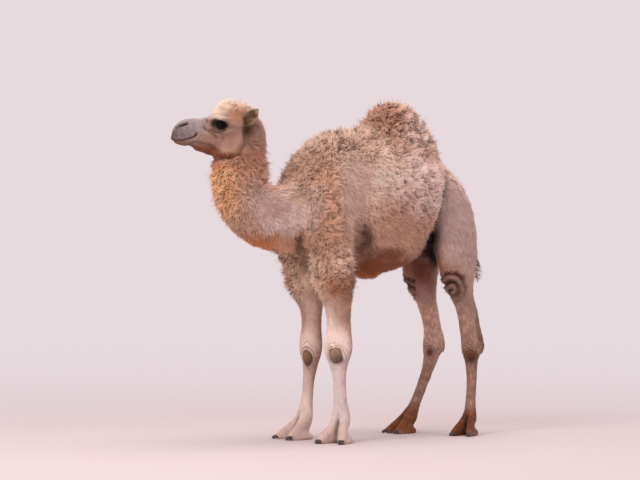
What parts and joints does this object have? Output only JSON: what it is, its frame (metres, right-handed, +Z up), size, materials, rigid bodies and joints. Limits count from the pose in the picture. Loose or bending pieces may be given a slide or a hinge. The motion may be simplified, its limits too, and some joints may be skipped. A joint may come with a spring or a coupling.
{
  "type": "young dromedary camel",
  "caption": "Standing one-humped camel calf with a woolly coat, head turned a little aside, on four two-toed feet flat on the floor; a still life-size model.",
  "frame": {"origin": "on the floor under the middle of the whole animal's bounding box", "axes": "+Z up, -Y the way the calf faces, +X its left side"},
  "size_m": [0.4535, 1.4317, 1.37],
  "materials": {
    "head": "short hair over skin",
    "neck": "woolly coat",
    "trunk": "woolly coat",
    "hump": "curly coat",
    "tail": "coarse hair",
    "forearm": "woolly coat",
    "knee": "short pale hair over skin",
    "fore_cannon": "short pale hair over skin",
    "fore_foot": "short pale hair over skin",
    "thigh": "brushed coat",
    "shank": "short hair over skin",
    "hock": "short dark hair over skin",
    "hind_cannon": "short hair over skin",
    "hind_foot": "short dark hair over skin",
    "ear": "soft hair",
    "eye": "wet gloss",
    "toenail": "dull horn"
  },
  "bodies": {
    "root": {"head": "head", "neck": "neck", "trunk": "trunk", "hump": "hump", "tail": "tail", "left_ear": "ear", "left_eye": "eye", "left_forearm": "forearm", "left_knee": "knee", "left_fore_cannon": "fore_cannon", "left_fore_foot": "fore_foot", "left_thigh": "thigh", "left_shank": "shank", "left_hock": "hock", "left_hind_cannon": "hind_cannon", "left_hind_foot": "hind_foot", "left_fore_inner_toenail": "toenail", "left_fore_outer_toenail": "toenail", "left_hind_inner_toenail": "toenail", "left_hind_outer_toenail": "toenail", "right_ear": "ear", "right_eye": "eye", "right_forearm": "forearm", "right_knee": "knee", "right_fore_cannon": "fore_cannon", "right_fore_foot": "fore_foot", "right_thigh": "thigh", "right_shank": "shank", "right_hock": "hock", "right_hind_cannon": "hind_cannon", "right_hind_foot": "hind_foot", "right_fore_inner_toenail": "toenail", "right_fore_outer_toenail": "toenail", "right_hind_inner_toenail": "toenail", "right_hind_outer_toenail": "toenail"}
  },
  "joints": []
}
